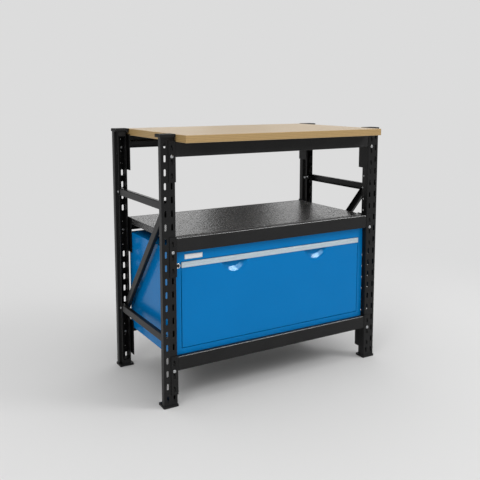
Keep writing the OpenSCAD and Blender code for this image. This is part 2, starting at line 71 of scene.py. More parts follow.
# Posts: a stepped channel with two rows of slots in its face and round holes in its throat
POST_SHEET = 0.002
POST_BEND = 0.0026
POST_BOX_DEPTH = 0.026
THROAT_WIDTH = 0.031
PITCH = 0.05
SLOT_WIDTH = 0.008
SLOT_LENGTH = 0.025
SLOT_OFFSET = 0.0131
THROAT_HOLE = 0.007
THROAT_HOLE_DEPTH = 0.036
POST_HOLE_MARGIN = 0.0015

# Feet and caps
PLATE_CORNER = 0.004
CAP_SOFT = 0.0022
FOOT_SOFT = 0.0012
PLUG_GAP = 0.0005
PLUG_CORNER = 0.001

# Beams and connectors
BEAM_SHEET = 0.002
BEAM_BEND = 0.0026
BEAM_STEP = 0.020
BEAM_STEP_DROP = 0.024
BEAM_LIP = 0.014
PLATE = 0.003
PLATE_BEND = 0.0032
PLATE_DEPTH = 0.056
FLANGE_WIDTH = 0.030
WINDOW_WIDTH = 0.009
WINDOW_HEIGHT = 0.014
WINDOW_DROP = 0.0155
WINDOW_CORNER = 0.0015
WINDOW_MARGIN = 0.002
WINDOW_ROWS = 0.009
HOOK_GAP = 0.0006
HOOK_THICK = 0.003
HOOK_HALF_WIDTH = 0.0035
HOOK_CORNER = 0.0006
HOOK_NECK_TOP = -0.0035
HOOK_NECK_FOOT = -0.009
HOOK_TIP = -0.021

# Bolts and nuts
BOLT_RISE = 0.0065
SHANK_RADIUS = 0.003
SHANK_POINT_RADIUS = 0.0022
SHANK_POINT = 0.0008
HEAD_EASE = 0.0003
HEAD_RIM = 0.22
NUT_ACROSS = 0.0115
NUT_HEIGHT = 0.005
NUT_SOFT = 0.0005

# Braces
BRACE_SHEET = 0.0015
BRACE_BEND = 0.002
BRACE_WIDTH = 0.0148
BRACE_HEIGHT = 0.030
BRACE_HOLE = 0.007
BRACE_HOLE_INSET = 0.012
BRACE_HOLE_MARGIN = 0.002
BRACE_HOLE_ROWS = 0.006
BRACE_SHANK_PAST_POST = 0.026

# Board and shelf
BOARD_CORNER = 0.0025
BOARD_LAYERS = 9
SHELF_SHEET = 0.0012
SHELF_BEND = 0.0022
SHELF_FOLD = 0.014
FLAP_INSET = 0.004
FLAP_CORNER = 0.0008

# Drawer front and its two finger cups
CUP_X = 0.195
CUP_RADIUS = 0.062
CUP_FLOOR_RADIUS = 0.040
CUP_DEPTH = 0.015
CUP_BEND = 0.024
CUP_CENTRE_DROP = 0.0025
CUP_FLAT_RING = 0.012
CUP_CELL_MARGIN = 0.02
DRAWER_SHEET = 0.0012
DRAWER_INSET = 0.0013
DRAWER_CORNER = 0.0016

# Pull strip, label and lock
GROOVE_DEPTH = 0.0006
PULL_CAP_CORNER = 0.0010
PULL_CAP_SOFT = 0.0008
LABEL_RIM = 0.002
LABEL_CORNER = 0.0015
CARD_CORNER = 0.0008
CARD_BACK = 0.0007
CARD_THICK = 0.0004
LABEL_EASE = 0.0004
LOCK_BODY_RADIUS = 0.009
LOCK_PLUG_GAP = 0.0001
BEZEL_RIM = 0.0006
BEZEL_EASE = 0.0004
BEZEL_SLOPE = 0.0014


# ---- Mesh tools ----


def round_path(points, bend, steps=4):
    """The corners of an open line in a plane, each turned into an arc."""
    line = [Vector(p) for p in points]
    out = [line[0]]
    for before, corner, after in zip(line, line[1:], line[2:]):
        back = (before - corner).normalized()
        ahead = (after - corner).normalized()
        half = back.angle(ahead) / 2
        centre = corner + (back + ahead).normalized() * bend / math.sin(half)
        start = corner + back * bend / math.tan(half) - centre
        end = corner + ahead * bend / math.tan(half) - centre
        turn = start.angle(end)
        for k in range(steps + 1):
            t = k / steps
            part = start * math.sin((1 - t) * turn) + end * math.sin(t * turn)
            out.append(centre + part / math.sin(turn))
    out.append(line[-1])
    return out


def offsets(line):
    """At each point of a line, the sideways step that keeps a sheet's thickness even."""
    normals = []
    for a, b in zip(line, line[1:]):
        d = (b - a).normalized()
        normals.append(Vector((-d.y, d.x)))
    steps = [normals[0]]
    for n, m in zip(normals, normals[1:]):
        steps.append((n + m) / (1 + n.dot(m)))
    steps.append(normals[-1])
    return steps


def quarter_turn(steps):
    """The angles of a quarter turn, from 0 to 90 degrees."""
    return [k / steps * math.pi / 2 for k in range(steps + 1)]


def hole_half(width, height, corner, steps=5):
    """Half of a round-cornered hole's outline, from its lowest to its highest middle point."""
    x = width / 2
    z = height / 2
    out = [(0, -z)]
    for a in quarter_turn(steps):
        out.append((x - corner + corner * math.sin(a), -z + corner - corner * math.cos(a)))
    for a in quarter_turn(steps):
        out.append((x - corner + corner * math.cos(a), z - corner + corner * math.sin(a)))
    out.append((0, z))
    clean = [out[0]]
    for p in out[1:]:
        if (Vector(p) - Vector(clean[-1])).length > 1e-6:
            clean.append(p)
    return clean


class Hole:
    """A hole in a folded sheet: at a point of the section, at a place along the run.

    margin is the flat left beside it, and rows the two heights its cell reaches to."""

    def __init__(self, at, run, width, height, corner, margin, rows):
        self.at = Vector(at)
        self.run = run
        self.half = hole_half(width, height, corner)
        self.margin = width / 2 + margin
        self.rows = rows


def folded(path, thickness, bend, run, place, holes=(), steps=4):
    """Vertices and faces of a folded sheet.

    path is the middle line of its section, run its start and end along the third direction,
    and place turns (section x, section y, run) into a point of the frame."""
    line = round_path(path, bend, steps)
    side = offsets(line)
    lengths = [0.0]
    for a, b in zip(line, line[1:]):
        lengths.append(lengths[-1] + (b - a).length)

    def at(u, layer):
        k = max(i for i in range(len(line) - 1) if lengths[i] <= u + 1e-9)
        t = (u - lengths[k]) / (lengths[k + 1] - lengths[k])
        point = line[k].lerp(line[k + 1], t)
        return point + side[k].lerp(side[k + 1], t) * layer * thickness / 2

    def nearest(point):
        best = None
        for k in range(len(line) - 1):
            edge = line[k + 1] - line[k]
            t = min(1, max(0, (point - line[k]).dot(edge) / edge.length_squared))
            far = (line[k].lerp(line[k + 1], t) - point).length
            if best is None or far < best[0]:
                best = (far, lengths[k] + t * edge.length)
        return best[1]

    columns = set(round(u, 7) for u in lengths)
    rows = set(round(w, 7) for w in run)
    cut = []
    for hole in holes:
        u = round(nearest(hole.at), 7)
        left, right = round(u - hole.margin, 7), round(u + hole.margin, 7)
        low, high = round(hole.rows[0], 7), round(hole.rows[1], 7)
        columns.update((left, u, right))
        rows.update((low, high))
        cut.append((hole, left, u, right, low, high))
    columns = sorted(columns)
    rows = sorted(rows)

    index = {}
    verts = []

    def vertex(u, w, layer):
        key = (round(u, 7), round(w, 7), layer)
        if key not in index:
            p = at(u, layer)
            index[key] = len(verts)
            verts.append(place(p.x, p.y, w))
        return index[key]

    flat = []
    for u0, u1 in zip(columns, columns[1:]):
        for w0, w1 in zip(rows, rows[1:]):
            inside_a_cell = any(
                left <= u0 and u1 <= right and low <= w0 and w1 <= high
                for _, left, _, right, low, high in cut
            )
            if not inside_a_cell:
                flat.append([(u0, w0), (u1, w0), (u1, w1), (u0, w1)])
    for hole, left, u, right, low, high in cut:
        between = [w for w in rows if low <= w <= high]
        outline = [(x, hole.run + z) for x, z in hole.half]
        flat.append(
            [(left, w) for w in reversed(between)] + [(u, low)]
            + [(u - x, w) for x, w in outline] + [(u, high)]
        )
        flat.append(
            [(right, w) for w in between] + [(u, high)]
            + [(u + x, w) for x, w in reversed(outline)] + [(u, low)]
        )

    faces = []
    borders = {}
    for loop in flat:
        faces.append([vertex(u, w, 1) for u, w in loop])
        faces.append([vertex(u, w, -1) for u, w in reversed(loop)])
        for a, b in zip(loop, loop[1:] + loop[:1]):
            if (b, a) in borders:
                del borders[(b, a)]
            else:
                borders[(a, b)] = True
    for (u0, w0), (u1, w1) in borders:
        faces.append([
            vertex(u1, w1, 1), vertex(u0, w0, 1), vertex(u0, w0, -1), vertex(u1, w1, -1)
        ])
    return verts, faces


def bands(loops, count):
    """The faces between neighbouring loops of count vertices each."""
    faces = []
    for r in range(loops - 1):
        for k in range(count):
            n = (k + 1) % count
            faces.append([r * count + k, r * count + n, (r + 1) * count + n, (r + 1) * count + k])
    return faces


def prism(outline, low, high, place, soft=0.0, steps=3):
    """Vertices and faces of an outline run from low to high, its two ends eased by soft."""
    centre = sum((Vector(p) for p in outline), Vector((0, 0))) / len(outline)
    half = max((Vector(p) - centre).length for p in outline)
    levels = [(low, 1.0), (high, 1.0)]
    if soft:
        ease = [(soft * (1 - math.cos(a)), soft * (1 - math.sin(a))) for a in quarter_turn(steps)]
        levels = [(low + rise, 1 - inset / half) for rise, inset in ease]
        levels += [(high - rise, 1 - inset / half) for rise, inset in reversed(ease)]
    verts = []
    count = len(outline)
    for w, scale in levels:
        for p in outline:
            q = centre + (Vector(p) - centre) * scale
            verts.append(place(q.x, q.y, w))
    faces = [list(range(count))] + bands(len(levels), count)
    faces.append(list(reversed(range((len(levels) - 1) * count, len(levels) * count))))
    return verts, faces


def rounded_box_outline(low, high, corner, steps=4):
    """A rectangle's outline with round corners."""
    out = []
    corners = [
        (high[0], high[1], 0), (low[0], high[1], 1), (low[0], low[1], 2), (high[0], low[1], 3)
    ]
    for x, y, quarter in corners:
        cx = x - corner if x == high[0] else x + corner
        cy = y - corner if y == high[1] else y + corner
        for k in range(steps + 1):
            a = (quarter + k / steps) * math.pi / 2
            out.append((cx + corner * math.cos(a), cy + corner * math.sin(a)))
    return out


def turned(profile, place, count):
    """The vertices of a profile of (radius, height) turned round its axis."""
    verts = []
    for radius, height in profile:
        for k in range(count):
            a = k / count * 2 * math.pi
            verts.append(place(radius * math.cos(a), radius * math.sin(a), height))
    return verts


def lathe(profile, place, count=28):
    """Vertices and faces of a turned profile, closed at both ends."""
    faces = [list(reversed(range(count)))] + bands(len(profile), count)
    faces.append(list(range((len(profile) - 1) * count, len(profile) * count)))
    return turned(profile, place, count), faces


def joined(parts):
    """Several meshes' vertices and faces as one."""
    verts, faces = [], []
    for part_verts, part_faces in parts:
        base = len(verts)
        verts += part_verts
        faces += [[base + i for i in face] for face in part_faces]
    return verts, faces


def ease_edges(obj, width, segments=2, angle=50):
    """Rounds an object's hard edges a little and shades its flat faces flat."""
    bevel = obj.modifiers.new("eased_edges", "BEVEL")
    bevel.width = width
    bevel.segments = segments
    bevel.limit_method = "ANGLE"
    bevel.angle_limit = math.radians(angle)
    normals = obj.modifiers.new("even_shading", "WEIGHTED_NORMAL")
    normals.keep_sharp = True


def added(name, mesh):
    """A new object in the scene."""
    obj = bpy.data.objects.new(name, mesh)
    bpy.context.scene.collection.objects.link(obj)
    return obj


def piece(name, mesh_data, looks, body, nodes, edge=0.0003, segments=2):
    """A new piece of the object that stands for the given CAD nodes."""
    mesh = bpy.data.meshes.new(name)
    mesh.from_pydata([tuple(v) for v in mesh_data[0]], [], mesh_data[1])
    shape = bmesh.new()
    shape.from_mesh(mesh)
    bmesh.ops.recalc_face_normals(shape, faces=shape.faces)
    shape.to_mesh(mesh)
    shape.free()
    mesh.shade_smooth()
    mesh.set_sharp_from_angle(angle=math.radians(40))
    obj = added(name, mesh)
    for look in looks:
        mesh.materials.append(look)
    if edge:
        ease_edges(obj, edge, segments)
    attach(obj, body)
    if nodes:
        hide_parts(*nodes)
    return obj


def finish_cad(node, look, edge):
    """A CAD node that stays: its triangles are joined to faces, its edges eased, its finish set."""
    obj = frame["nodes"][node]
    obj.data.materials.clear()
    obj.data.materials.append(look)
    weld = obj.modifiers.new("joined_corners", "WELD")
    weld.merge_threshold = 1e-5
    flat = obj.modifiers.new("whole_faces", "DECIMATE")
    flat.decimate_type = "DISSOLVE"
    flat.angle_limit = math.radians(1)
    ease_edges(obj, edge)


# ---- Materials ----


class Look:
    """A material's node tree, with short calls that add nodes and join them."""

    def __init__(self, name, **fixed):
        self.material = bpy.data.materials.new(name)
        self.material.use_nodes = True
        self.tree = self.material.node_tree
        self.shader = self.tree.nodes["Principled BSDF"]
        for socket, value in fixed.items():
            self.shader.inputs[socket.replace("_", " ")].default_value = value
        self.coords = self.tree.nodes.new("ShaderNodeTexCoord").outputs["Object"]

    def join(self, output, socket):
        self.tree.links.new(output, socket)

    def feed(self, value, socket):
        """Joins a node's output to a socket, or writes a number or a colour into it."""
        if hasattr(value, "is_output"):
            self.join(value, socket)
        elif hasattr(value, "__len__"):
            socket.default_value = (*value, 1)
        else:
            socket.default_value = value

    def mapped(self, scale):
        node = self.tree.nodes.new("ShaderNodeMapping")
        node.inputs["Scale"].default_value = scale
        self.join(self.coords, node.inputs["Vector"])
        return node.outputs["Vector"]

    def noise(self, scale, detail=2.0, stretch=None, rough=0.5):
        node = self.tree.nodes.new("ShaderNodeTexNoise")
        node.inputs["Scale"].default_value = scale
        node.inputs["Detail"].default_value = detail
        node.inputs["Roughness"].default_value = rough
        self.join(self.mapped(stretch) if stretch else self.coords, node.inputs["Vector"])
        return node.outputs["Fac"]

    def ramp(self, source, stops):
        """Colours, or grey levels, at places from 0 to 1."""
        node = self.tree.nodes.new("ShaderNodeValToRGB")
        elements = node.color_ramp.elements
        while len(elements) < len(stops):
            elements.new(0.5)
        for element, (position, colour) in zip(elements, stops):
            if not hasattr(colour, "__len__"):
                colour = (colour, colour, colour)
            element.position = position
            element.color = (*colour, 1)
        self.join(source, node.inputs["Fac"])
        return node.outputs["Color"]

    def mix(self, a, b, factor, blend="MIX"):
        node = self.tree.nodes.new("ShaderNodeMix")
        node.data_type = "RGBA"
        node.blend_type = blend
        self.feed(factor, node.inputs["Factor"])
        self.feed(a, node.inputs["A"])
        self.feed(b, node.inputs["B"])
        return node.outputs["Result"]

    def maths(self, operation, a, b=0.0):
        node = self.tree.nodes.new("ShaderNodeMath")
        node.operation = operation
        self.feed(a, node.inputs[0])
        self.feed(b, node.inputs[1])
        return node.outputs[0]

    def colour(self, source):
        self.join(source, self.shader.inputs["Base Color"])

    def roughness(self, source, low, high):
        node = self.tree.nodes.new("ShaderNodeMapRange")
        node.inputs["To Min"].default_value = low
        node.inputs["To Max"].default_value = high
        self.join(source, node.inputs["Value"])
        self.join(node.outputs["Result"], self.shader.inputs["Roughness"])

    def bump(self, source, strength, distance):
        node = self.tree.nodes.new("ShaderNodeBump")
        node.inputs["Strength"].default_value = strength
        node.inputs["Distance"].default_value = distance
        self.join(source, node.inputs["Height"])
        self.join(node.outputs["Normal"], self.shader.inputs["Normal"])


def powder_coat():
    """Black powder coat: a fine grain with paler specks."""
    look = Look("black_powder_coat", Specular_IOR_Level=0.21)
    grain = look.noise(900, 3)
    cloud = look.noise(9, 2)
    specks = look.ramp(look.noise(1400, 1), [(0.62, 0), (0.72, 1)])
    base = look.ramp(cloud, [(0.3, (0.0060, 0.0060, 0.0062)), (0.7, (0.0095, 0.0095, 0.0098))])
    look.colour(look.mix(base, (0.035, 0.035, 0.036), specks))
    look.roughness(grain, 0.27, 0.38)
    look.bump(grain, 0.35, 0.0002)
    return look.material


def black_plastic():
    """Moulded black plastic with a soft eroded grain."""
    look = Look("black_plastic", Specular_IOR_Level=0.3)
    grain = look.noise(1600, 2)
    cloud = look.noise(14, 2)
    look.colour(look.ramp(cloud, [(0.3, (0.006, 0.006, 0.0065)), (0.7, (0.010, 0.010, 0.0105))]))
    look.roughness(grain, 0.45, 0.58)
    look.bump(grain, 0.25, 0.00015)
    return look.material


def enamel():
    """Semi-gloss blue enamel on sheet steel, with the faint ripple of a sprayed coat.

    The light it bounces onto the floor and the posts is grey, so that they take no blue from it."""
    look = Look("blue_enamel", Specular_IOR_Level=0.12, Specular_Tint=(0.70, 0.97, 1.0, 1.0))
    ripple = look.noise(260, 3)
    cloud = look.noise(3.5, 3)
    specks = look.noise(1300, 1)
    base = look.ramp(cloud, [(0.3, (0.0010, 0.205, 0.565)), (0.7, (0.0016, 0.220, 0.600))])
    tinted = look.mix(base, (0.0010, 0.160, 0.460), look.ramp(specks, [(0.60, 0), (0.78, 0.4)]))
    rays = look.tree.nodes.new("ShaderNodeLightPath")
    look.colour(look.mix(tinted, (0.14, 0.14, 0.14), rays.outputs["Is Diffuse Ray"]))
    look.roughness(ripple, 0.14, 0.20)
    look.bump(ripple, 0.10, 0.0004)
    return look.material


def shelf_coat():
    """Semi-gloss dark grey coat full of fine pale and dark specks."""
    look = Look("grey_shelf_coat", Specular_IOR_Level=0.55)
    grain = look.noise(700, 3)
    cloud = look.noise(5, 3)
    pale = look.ramp(look.noise(1100, 1), [(0.58, 0), (0.66, 1)])
    base = look.ramp(cloud, [(0.3, (0.022, 0.022, 0.0225)), (0.7, (0.034, 0.034, 0.0345))])
    dark = look.mix(base, (0.015, 0.015, 0.016), look.ramp(grain, [(0.30, 1), (0.42, 0)]))
    look.colour(look.mix(dark, (0.26, 0.26, 0.26), pale))
    look.roughness(look.noise(170, 4, rough=0.7), 0.04, 0.46)
    look.bump(look.noise(110, 4, rough=0.65), 0.7, 0.0018)
    return look.material


def board_face():
    """The board's sanded face: pale veneer with long fine grain along its length."""
    look = Look("board_face", Specular_IOR_Level=0.35)
    wide = look.noise(1.0, 4, (2.2, 34, 10), 0.55)
    fine = look.noise(1.0, 5, (9, 420, 60), 0.6)
    pores = look.ramp(look.noise(1.0, 2, (45, 1500, 200)), [(0.30, 1), (0.40, 0)])
    base = look.ramp(wide, [
        (0.25, (0.605, 0.480, 0.342)), (0.5, (0.68, 0.555, 0.405)), (0.75, (0.625, 0.505, 0.368))
    ])
    streaked = look.mix(base, look.ramp(fine, [(0.3, 0.72), (0.7, 1.0)]), 0.35, "MULTIPLY")
    look.colour(look.mix(streaked, (0.38, 0.27, 0.17), look.mix((0, 0, 0), pores, 0.35)))
    look.roughness(fine, 0.42, 0.60)
    look.bump(fine, 0.12, 0.0003)
    return look.material


def board_edge(low, high):
    """The board's edge: glued layers, every other one darker, under a clear coat."""
    look = Look("board_edge", Specular_IOR_Level=0.45)
    split = look.tree.nodes.new("ShaderNodeSeparateXYZ")
    look.join(look.coords, split.inputs[0])
    height = look.maths("SUBTRACT", split.outputs["Z"], low)
    count = look.maths("MULTIPLY", height, BOARD_LAYERS / (high - low))
    waver = look.maths("MULTIPLY", look.noise(1.0, 3, (30, 30, 30)), 0.22)
    part = look.maths("FRACT", look.maths("MULTIPLY", look.maths("ADD", count, waver), 0.5))
    layer = look.ramp(part, [
        (0.0, (0.59, 0.390, 0.168)), (0.46, (0.55, 0.365, 0.154)), (0.50, (0.40, 0.255, 0.101)),
        (0.54, (0.49, 0.322, 0.134)), (0.96, (0.47, 0.310, 0.127)), (1.0, (0.40, 0.255, 0.101))
    ])
    fibres = look.noise(1.0, 4, (60, 60, 900), 0.6)
    look.colour(look.mix(layer, look.ramp(fibres, [(0.3, 0.75), (0.7, 1.0)]), 0.6, "MULTIPLY"))
    look.roughness(fibres, 0.30, 0.46)
    look.bump(fibres, 0.15, 0.0003)
    return look.material


def zinc():
    """Bright zinc plating with faint clouding."""
    look = Look("zinc_plate", Metallic=1.0)
    cloud = look.noise(350, 3)
    look.colour(look.ramp(cloud, [(0.3, (0.40, 0.41, 0.42)), (0.7, (0.56, 0.57, 0.58))]))
    look.roughness(cloud, 0.22, 0.38)
    look.bump(cloud, 0.10, 0.0001)
    return look.material


def rolled_steel():
    """Zinc-plated rolled steel, drawn along the slide's length."""
    look = Look("rolled_steel", Metallic=1.0)
    drawn = look.noise(1.0, 4, (700, 12, 700), 0.6)
    look.colour(look.ramp(drawn, [(0.3, (0.50, 0.52, 0.54)), (0.7, (0.68, 0.70, 0.72))]))
    look.roughness(drawn, 0.28, 0.44)
    look.bump(drawn, 0.10, 0.0001)
    return look.material


def nickel():
    """Polished nickel with hairline wear."""
    look = Look("polished_nickel", Metallic=1.0)
    wear = look.noise(500, 4)
    look.colour(look.ramp(wear, [(0.3, (0.66, 0.65, 0.63)), (0.7, (0.80, 0.79, 0.77))]))
    look.roughness(wear, 0.12, 0.26)
    look.bump(wear, 0.06, 0.0001)
    return look.material


def dark_steel():
    """Blackened steel, for the lock's plug and cam."""
    look = Look("dark_steel", Metallic=1.0)
    wear = look.noise(500, 4)
    look.colour(look.ramp(wear, [(0.3, (0.045, 0.042, 0.040)), (0.7, (0.085, 0.080, 0.076))]))
    look.roughness(wear, 0.22, 0.36)
    look.bump(wear, 0.06, 0.0001)
    return look.material


def brushed_aluminium():
    """Satin anodised aluminium, brushed along its length with a few slanting marks."""
    look = Look("brushed_aluminium", Metallic=0.3)
    brushed = look.noise(1.0, 4, (14, 900, 1500), 0.6)
    slanted = look.noise(1.0, 3, (20, 130, 130), 0.5)
    base = look.ramp(slanted, [(0.35, (0.59, 0.70, 0.77)), (0.65, (0.63, 0.74, 0.81))])
    look.colour(look.mix(base, look.ramp(brushed, [(0.3, 0.85), (0.7, 1.0)]), 0.6, "MULTIPLY"))
    look.roughness(brushed, 0.24, 0.32)
    look.bump(brushed, 0.06, 0.0001)
    return look.material


def label_card():
    """A blank white card with the faint fibre of paper."""
    look = Look("blank_card", Specular_IOR_Level=0.2)
    fibre = look.noise(1800, 3)
    look.colour(look.ramp(fibre, [(0.3, (0.88, 0.88, 0.90)), (0.7, (0.95, 0.95, 0.97))]))
    look.roughness(fibre, 0.55, 0.75)
    look.bump(fibre, 0.10, 0.0001)
    return look.material


BLACK = powder_coat()
PLASTIC = black_plastic()
BLUE = enamel()
GREY = shelf_coat()
ZINC = zinc()
STEEL = rolled_steel()
NICKEL = nickel()
DARK_STEEL = dark_steel()
ALUMINIUM = brushed_aluminium()
CARD = label_card()


# ---- Posts, feet and caps ----


def frame_piece(node, ending, mesh_data):
    """A black painted piece of the frame."""
    piece(node + ending, mesh_data, [BLACK], "bench", [node])


def post_place(node, side, end):
    """Turns (outwards across, outwards through the slotted face, up) into a point of the frame."""
    low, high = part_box(node)
    middle = (low.x + high.x) / 2
    face = high.y if end > 0 else low.y
    return lambda a, b, w: Vector((middle + side * a, face + end * b, w))


def make_post(node, side, end):
    """A post's stepped channel with its slots and round holes."""
    low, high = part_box(node)
    half = (high.x - low.x) / 2 - POST_SHEET / 2
    throat = (THROAT_WIDTH + POST_SHEET) / 2
    face = -POST_SHEET / 2
    step = -POST_BOX_DEPTH + POST_SHEET / 2
    back = -(high.y - low.y)
    path = [
        (-throat, back), (-throat, step), (-half, step), (-half, face),
        (half, face), (half, step), (throat, step), (throat, back)
    ]
    count = round((high.z - low.z) / PITCH)
    holes = []
    for k in range(count):
        foot = low.z + k * PITCH
        for s in (-1, 1):
            holes.append(Hole(
                (s * SLOT_OFFSET, face), foot + PITCH / 2, SLOT_WIDTH, SLOT_LENGTH,
                SLOT_WIDTH / 2, POST_HOLE_MARGIN, (foot, foot + PITCH)
            ))
            if k:
                holes.append(Hole(
                    (s * throat, -THROAT_HOLE_DEPTH), foot, THROAT_HOLE, THROAT_HOLE,
                    THROAT_HOLE / 2, POST_HOLE_MARGIN, (foot - PITCH / 2, foot + PITCH / 2)
                ))
    mesh = folded(
        path, POST_SHEET, POST_BEND, (low.z, high.z), post_place(node, side, end), holes
    )
    frame_piece(node, "_sheet", mesh)


def make_plate_and_plug(node, post, side, end, up):
    """A foot or a cap: a soft-edged plate, and the plug that fills the post's end."""
    low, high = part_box(node)
    post_low, post_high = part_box(post)
    place = post_place(node, side, end)
    half_x = (high.x - low.x) / 2
    depth = high.y - low.y
    if up:
        plate = (post_high.z, high.z)
        plug = (low.z, post_high.z)
        soft = CAP_SOFT
    else:
        plate = (low.z, post_low.z)
        plug = (post_low.z, high.z)
        soft = FOOT_SOFT
    outline = rounded_box_outline((-half_x, -depth), (half_x, 0), PLATE_CORNER)
    parts = [prism(outline, *plate, place, soft)]
    over = (depth - (post_high.y - post_low.y)) / 2
    wall = POST_SHEET + PLUG_GAP
    box_x = (post_high.x - post_low.x) / 2 - wall
    box_back = -over - POST_BOX_DEPTH + wall
    throat_x = THROAT_WIDTH / 2 - PLUG_GAP
    box = [(-box_x, box_back), (box_x, -over - wall)]
    throat = [(-throat_x, -depth + over + PLUG_GAP), (throat_x, box_back)]
    for a, b in (box, throat):
        parts.append(prism(rounded_box_outline(a, b, PLUG_CORNER, 2), *plug, place))
    piece(
        node + "_moulding", joined(parts), [PLASTIC], "bench", [node], edge=0.0002
    )


for end_name, end in ENDS.items():
    for side_name, side in SIDES.items():
        where = end_name + "_" + side_name
        make_post("post_" + where, side, end)
        make_plate_and_plug("foot_" + where, "post_" + where, side, end, up=False)
        make_plate_and_plug("cap_" + where, "post_" + where, side, end, up=True)


# ---- Beams, connectors and bolts ----


def make_beam(node, end):
    """A step beam, lipped at the foot of its face and at the rear of its ledge."""
    low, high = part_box(node)
    face = high.y if end > 0 else low.y
    t = BEAM_SHEET / 2
    top = high.z - low.z
    depth = high.y - low.y
    ledge = top - BEAM_STEP_DROP
    path = [
        (-BEAM_LIP, t), (-t, t), (-t, top - t), (-BEAM_STEP + t, top - t),
        (-BEAM_STEP + t, ledge - t), (-depth + t, ledge - t), (-depth + t, ledge - BEAM_LIP)
    ]
    place = lambda a, b, w: Vector((w, face + end * a, low.z + b))
    mesh = folded(path, BEAM_SHEET, BEAM_BEND, (low.x, high.x), place)
    frame_piece(node, "_sheet", mesh)


LEVELS = ("lower", "shelf", "top")
for level in LEVELS:
    for end_name, end in ENDS.items():
        make_beam("beam_" + level + "_" + end_name, end)


def slot_height(level):
    """The height of the slot that a level's connectors are bolted to."""
    low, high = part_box("connectors_" + level)
    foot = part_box("post_front_left")[0].z
    middle = (low.z + high.z) / 2
    k = round((middle - foot) / PITCH - 0.5)
    return foot + (k + 0.5) * PITCH


def hook_outline(inner):
    """A hook's section, from its face behind the post's wall out to the depth given."""
    return rounded_box_outline(
        (-SLOT_OFFSET - HOOK_HALF_WIDTH, -POST_SHEET - HOOK_GAP - HOOK_THICK),
        (-SLOT_OFFSET + HOOK_HALF_WIDTH, inner), HOOK_CORNER, 2
    )


def connector_parts(level, side, end):
    """One angle plate with its windows and hooks."""
    low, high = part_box("connectors_" + level)
    post = "post_" + ("rear" if end > 0 else "front") + "_" + ("right" if side > 0 else "left")
    post_low, post_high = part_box(post)
    place = post_place(post, side, end)
    inner = -(post_high.x - post_low.x) / 2
    t = PLATE / 2
    path = [(inner - t, -PLATE_DEPTH), (inner - t, t), (inner - PLATE + FLANGE_WIDTH, t)]
    slots = [slot_height(level) + j * PITCH for j in (-1, 0, 1)]
    holes = []
    for slot in slots:
        z = slot - WINDOW_DROP
        holes.append(Hole(
            (-SLOT_OFFSET, t), z, WINDOW_WIDTH, WINDOW_HEIGHT, WINDOW_CORNER, WINDOW_MARGIN,
            (z - WINDOW_ROWS, z + WINDOW_ROWS)
        ))
    parts = [folded(path, PLATE, PLATE_BEND, (low.z, high.z), place, holes)]
    neck = hook_outline(PLATE)
    hook = hook_outline(-POST_SHEET - HOOK_GAP)
    for z in slots:
        parts.append(prism(neck, z + HOOK_NECK_FOOT, z + HOOK_NECK_TOP, place))
        parts.append(prism(hook, z + HOOK_TIP, z + HOOK_NECK_FOOT, place))
    return parts


for level in LEVELS:
    found = []
    for side in SIDES.values():
        for end in ENDS.values():
            found += connector_parts(level, side, end)
    frame_piece("connectors_" + level, "_plates", joined(found))


def bolt_profile(head_r, head_h, shank_l):
    """A round-headed bolt from its shank's end to the top of its dome."""
    out = [
        (SHANK_POINT_RADIUS, -shank_l), (SHANK_RADIUS, -shank_l + SHANK_POINT), (SHANK_RADIUS, 0),
        (head_r - HEAD_EASE, 0), (head_r, 0.0004), (head_r, head_h * HEAD_RIM)
    ]
    for a in quarter_turn(7)[1:]:
        radius = head_r * math.cos(a) * 0.98 + 0.0001
        out.append((radius, head_h * (HEAD_RIM + (1 - HEAD_RIM) * math.sin(a))))
    return out


def bolt_and_nut(head_r, head_h, shank_l, head, nut):
    """A bolt and its nut; head and nut turn (across, across, along) into points of the frame."""
    corners = [k * math.pi / 3 for k in range(6)]
    outline = [(NUT_ACROSS / 2 * math.cos(a), NUT_ACROSS / 2 * math.sin(a)) for a in corners]
    return [
        lathe(bolt_profile(head_r, head_h, shank_l), head),
        prism(outline, 0, NUT_HEIGHT, nut, NUT_SOFT, 2)
    ]


def make_connector_bolts():
    """A bolt through each connector's flange and the post's face."""
    parts = []
    for level in LEVELS:
        z = slot_height(level) + BOLT_RISE
        for side_name, side in SIDES.items():
            for end_name, end in ENDS.items():
                place = post_place("post_" + end_name + "_" + side_name, side, end)
                head = lambda a, b, w: place(a - SLOT_OFFSET, PLATE + w, z + b)
                nut = lambda a, b, w: place(a - SLOT_OFFSET, -POST_SHEET - w, z + b)
                parts += bolt_and_nut(0.0065, 0.005, 0.016, head, nut)
    piece(
        "connector_bolts_and_nuts", joined(parts), [ZINC],
        "bench", ["connector_bolts"], edge=0
    )


make_connector_bolts()


# ---- Side braces ----


def brace_path():
    """A brace's section: a channel, open towards the post."""
    t = BRACE_SHEET / 2
    half = BRACE_HEIGHT / 2 - t
    web = BRACE_WIDTH - t
    return [(0, -half), (web, -half), (web, half), (0, half)]


def make_brace(node, length, place):
    """A channel with a bolt hole near each end."""
    end = length / 2
    hole_at = end - BRACE_HOLE_INSET
    holes = []
    for s in (-1, 1):
        rows = sorted((s * (hole_at - BRACE_HOLE_ROWS), s * (hole_at + BRACE_HOLE_ROWS)))
        holes.append(Hole(
            (BRACE_WIDTH - BRACE_SHEET / 2, 0), s * hole_at, BRACE_HOLE, BRACE_HOLE,
            BRACE_HOLE / 2, BRACE_HOLE_MARGIN, rows
        ))
    mesh = folded(brace_path(), BRACE_SHEET, BRACE_BEND, (-end, end), place, holes)
    frame_piece(node, "_channel", mesh)


def level_brace(node, side):
    """Runs level from the front post to the rear one."""
    low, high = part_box(node)
    inner = low.x if side > 0 else high.x
    middle = (low + high) / 2
    place = lambda a, b, w: Vector((inner + side * a, middle.y + w, middle.z + b))
    make_brace(node, high.y - low.y, place)


